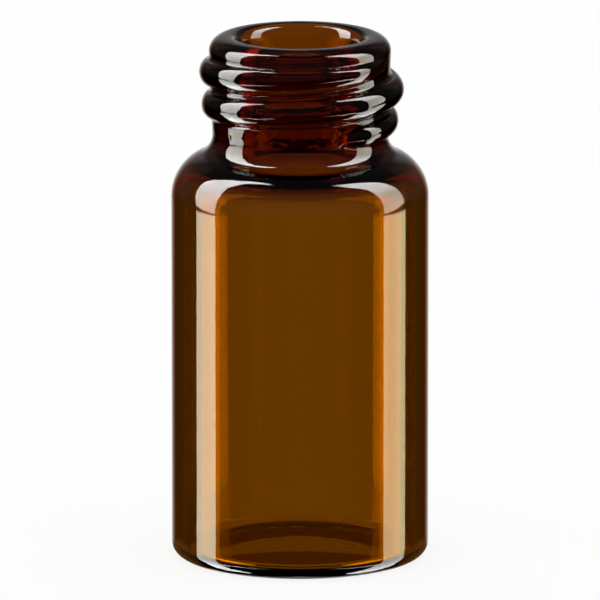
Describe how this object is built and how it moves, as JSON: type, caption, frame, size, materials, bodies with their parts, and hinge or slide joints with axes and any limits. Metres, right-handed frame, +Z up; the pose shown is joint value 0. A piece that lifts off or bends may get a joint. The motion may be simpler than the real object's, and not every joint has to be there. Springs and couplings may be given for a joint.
{
  "type": "glass sample vial",
  "caption": "Cylindrical amber glass sample vial with a rounded shoulder, a short open neck with a coarse rounded right-hand screw thread, a smooth rolled rim and a flat foot.",
  "frame": {"origin": "centre of the foot, on the plane the vial stands on", "axes": "+Z up along the vial's axis, out of the mouth; -Y is the front, from which the thread's first trace lies 24 degrees to the right (+X)"},
  "size_m": [0.0226, 0.0226, 0.0463],
  "materials": {
    "amber_glass": "clear glossy amber tube glass, coloured all through"
  },
  "bodies": {
    "root": {"vial": "amber_glass"}
  },
  "joints": []
}
